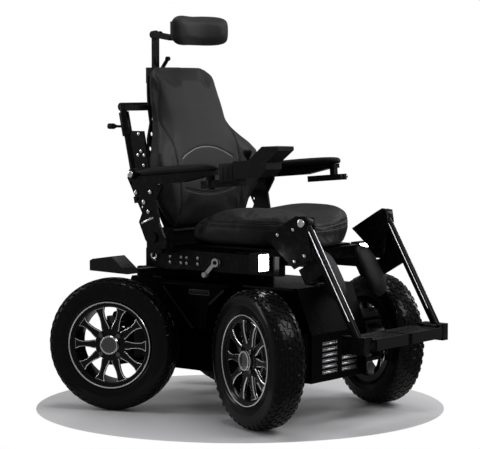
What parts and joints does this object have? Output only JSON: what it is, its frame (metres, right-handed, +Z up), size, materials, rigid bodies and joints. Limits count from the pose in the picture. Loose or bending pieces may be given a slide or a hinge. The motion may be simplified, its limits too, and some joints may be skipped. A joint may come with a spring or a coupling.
{
  "type": "all terrain wheelchair",
  "caption": "Powered all terrain wheelchair with four steered knobbly wheels, contoured reclining seat, head rest, joystick arm rest and raising leg rests.",
  "frame": {"origin": "on the floor, in the middle of the chair's length and width", "axes": "+X forward, +Y to the rider's left, +Z up"},
  "size_m": [1.0867, 0.8322, 1.215],
  "materials": {
    "frame_paint": "satin black powder coat",
    "cast_metal": "dark cast motor housing",
    "steel": "brushed",
    "chrome": "polished",
    "alloy": "black with machined edges",
    "tyre": "black rubber",
    "leather": "grained black leatherette",
    "pad": "soft moulded skin",
    "panel": "gloss black moulding",
    "plastic": "fine moulded grain",
    "battery": "plain case",
    "red_lens": "red ribbed lens"
  },
  "bodies": {
    "base": {"chassis_frame": "frame_paint", "steering_forks": "frame_paint", "steering_motors": "cast_metal", "batteries": "battery", "controller": "cast_metal", "side_panel_left": "panel", "side_panel_right": "panel", "front_cover": "panel", "rear_cover": "panel", "tail_arms": "plastic", "tail_lenses": "red_lens", "tilt_actuator": "frame_paint"},
    "tilt_ram": {"tilt_rod": "steel"},
    "seat": {"seat_frame": "frame_paint", "seat_cushion": "leather", "headlamps": "plastic"},
    "release": {"release_lever": "chrome"},
    "back": {"back_frame": "frame_paint", "back_shell": "plastic", "back_cushion": "leather", "push_frame": "frame_paint"},
    "plunger": {"plunger_knob": "plastic"},
    "head_stem": {"headrest_stem": "frame_paint"},
    "head_clamp": {"headrest_clamp_lever": "plastic"},
    "head_link": {"headrest_link": "frame_paint"},
    "head_pad": {"headrest_plate": "plastic", "headrest_pad": "leather"},
    "arm_left": {"armrest_left": "frame_paint", "arm_pad_left": "pad", "switch_box": "plastic"},
    "arm_right": {"armrest_right": "frame_paint", "arm_pad_right": "pad"},
    "joystick_pod": {"joystick_arm": "frame_paint", "joystick_housing": "plastic"},
    "gimbal": {"joystick_gimbal": "steel"},
    "stick": {"joystick_lever": "plastic"},
    "button": {"power_button": "steel"},
    "toggle": {"switch_toggle": "steel"},
    "leg_left": {"hanger_left": "frame_paint", "calf_pad_left": "pad"},
    "leg_right": {"hanger_right": "frame_paint", "calf_pad_right": "pad"},
    "foot_left": {"footplate_left": "plastic"},
    "foot_right": {"footplate_right": "plastic"},
    "knuckle_front_left": {"knuckle_front_left": "cast_metal"},
    "wheel_front_left": {"hub_front_left": "chrome", "rim_front_left": "alloy", "tyre_front_left": "tyre"},
    "knuckle_front_right": {"knuckle_front_right": "cast_metal"},
    "wheel_front_right": {"hub_front_right": "chrome", "rim_front_right": "alloy", "tyre_front_right": "tyre"},
    "knuckle_rear_left": {"knuckle_rear_left": "cast_metal"},
    "wheel_rear_left": {"hub_rear_left": "chrome", "rim_rear_left": "alloy", "tyre_rear_left": "tyre"},
    "knuckle_rear_right": {"knuckle_rear_right": "cast_metal"},
    "wheel_rear_right": {"hub_rear_right": "chrome", "rim_rear_right": "alloy", "tyre_rear_right": "tyre"}
  },
  "joints": [
    {"name": "steer_front_left", "type": "hinge", "parent": "base", "child": "knuckle_front_left", "pos_m": [0.21699, 0.3035, 0.203], "axis": [0, 0, 1], "range_deg": [-8.5, 51.5]},
    {"name": "spin_front_left", "type": "hinge", "parent": "knuckle_front_left", "child": "wheel_front_left", "pos_m": [0.21699, 0.3035, 0.203], "axis": [0.3665, 0.9304, 0], "continuous": true},
    {"name": "steer_front_right", "type": "hinge", "parent": "base", "child": "knuckle_front_right", "pos_m": [0.21699, -0.3035, 0.203], "axis": [0, 0, 1], "range_deg": [-8.5, 51.5]},
    {"name": "spin_front_right", "type": "hinge", "parent": "knuckle_front_right", "child": "wheel_front_right", "pos_m": [0.21699, -0.3035, 0.203], "axis": [0.3665, 0.9304, 0], "continuous": true},
    {"name": "steer_rear_left", "type": "hinge", "parent": "base", "child": "knuckle_rear_left", "pos_m": [-0.34302, 0.3035, 0.203], "axis": [0, 0, 1], "range_deg": [-51.5, 8.5]},
    {"name": "spin_rear_left", "type": "hinge", "parent": "knuckle_rear_left", "child": "wheel_rear_left", "pos_m": [-0.34302, 0.3035, 0.203], "axis": [-0.3665, 0.9304, 0], "continuous": true},
    {"name": "steer_rear_right", "type": "hinge", "parent": "base", "child": "knuckle_rear_right", "pos_m": [-0.34302, -0.3035, 0.203], "axis": [0, 0, 1], "range_deg": [-51.5, 8.5]},
    {"name": "spin_rear_right", "type": "hinge", "parent": "knuckle_rear_right", "child": "wheel_rear_right", "pos_m": [-0.34302, -0.3035, 0.203], "axis": [-0.3665, 0.9304, 0], "continuous": true},
    {"name": "seat_tilt", "type": "hinge", "parent": "base", "child": "seat", "pos_m": [-0.23001, 0, 0.44], "axis": [0, -1, 0], "range_deg": [0, 14]},
    {"name": "tilt_ram_slide", "type": "slide", "parent": "base", "child": "tilt_ram", "axis": [0, 0, 1], "range_m": [0, 0.1075]},
    {"name": "release_lever_turn", "type": "hinge", "parent": "seat", "child": "release", "pos_m": [-0.008, -0.22, 0.465], "axis": [0, 1, 0], "range_deg": [-40, 40]},
    {"name": "back_recline", "type": "hinge", "parent": "seat", "child": "back", "pos_m": [-0.20502, 0, 0.535], "axis": [0, -1, 0], "range_deg": [0, 40]},
    {"name": "plunger_pull", "type": "slide", "parent": "back", "child": "plunger", "axis": [-1, 0, 0], "range_m": [0, 0.008], "stiffness_N_per_m": 800},
    {"name": "headrest_height", "type": "slide", "parent": "back", "child": "head_stem", "axis": [0, 0, 1], "range_m": [-0.03, 0.03]},
    {"name": "headrest_clamp_turn", "type": "hinge", "parent": "back", "child": "head_clamp", "pos_m": [-0.44501, 0.028, 1.034], "axis": [0, 1, 0], "range_deg": [0, 55]},
    {"name": "headrest_link_tilt", "type": "hinge", "parent": "head_stem", "child": "head_link", "pos_m": [-0.43301, 0, 1.154], "axis": [0, 1, 0], "range_deg": [-25, 15]},
    {"name": "headrest_pad_tilt", "type": "hinge", "parent": "head_link", "child": "head_pad", "pos_m": [-0.33302, 0, 1.138], "axis": [0, 1, 0], "range_deg": [-25, 25]},
    {"name": "arm_left_lift", "type": "hinge", "parent": "back", "child": "arm_left", "pos_m": [-0.25001, 0.304, 0.727], "axis": [0, -1, 0], "range_deg": [0, 95]},
    {"name": "arm_right_lift", "type": "hinge", "parent": "back", "child": "arm_right", "pos_m": [-0.25001, -0.304, 0.727], "axis": [0, -1, 0], "range_deg": [0, 95]},
    {"name": "joystick_swing", "type": "hinge", "parent": "arm_right", "child": "joystick_pod", "pos_m": [0.04497, -0.304, 0.70563], "axis": [-0.0872, 0, 0.9962], "range_deg": [-90, 0]},
    {"name": "joystick_pitch", "type": "hinge", "parent": "joystick_pod", "child": "gimbal", "pos_m": [0.18316, -0.304, 0.7669], "axis": [0, 1, 0], "range_deg": [-15, 15], "stiffness_Nm_per_rad": 2},
    {"name": "joystick_roll", "type": "hinge", "parent": "gimbal", "child": "stick", "pos_m": [0.18316, -0.304, 0.7669], "axis": [0.9962, 0, 0.0872], "range_deg": [-15, 15], "stiffness_Nm_per_rad": 2},
    {"name": "power_button_press", "type": "slide", "parent": "joystick_pod", "child": "button", "axis": [0.0872, 0, -0.9962], "range_m": [0, 0.002], "stiffness_N_per_m": 600},
    {"name": "switch_toggle_flip", "type": "hinge", "parent": "arm_left", "child": "toggle", "pos_m": [0.07919, 0.304, 0.70461], "axis": [0, 1, 0], "range_deg": [-12, 12]},
    {"name": "legrest_left_raise", "type": "hinge", "parent": "seat", "child": "leg_left", "pos_m": [0.31399, 0.204, 0.598], "axis": [0, -1, 0], "range_deg": [0, 60]},
    {"name": "footplate_left_fold", "type": "hinge", "parent": "leg_left", "child": "foot_left", "pos_m": [0.49949, 0.182, 0.2727], "axis": [-1, 0, 0], "range_deg": [0, 90]},
    {"name": "legrest_right_raise", "type": "hinge", "parent": "seat", "child": "leg_right", "pos_m": [0.31399, -0.204, 0.598], "axis": [0, -1, 0], "range_deg": [0, 60]},
    {"name": "footplate_right_fold", "type": "hinge", "parent": "leg_right", "child": "foot_right", "pos_m": [0.49949, -0.182, 0.2727], "axis": [1, 0, 0], "range_deg": [0, 90]}
  ],
  "couplings": [
    {"joint": "steer_front_right", "follows": "steer_front_left", "ratio": 1},
    {"joint": "steer_rear_left", "follows": "steer_front_left", "ratio": -1},
    {"joint": "steer_rear_right", "follows": "steer_front_left", "ratio": -1},
    {"joint": "tilt_ram_slide", "follows": "seat_tilt", "m_per_rad": 0.435}
  ]
}
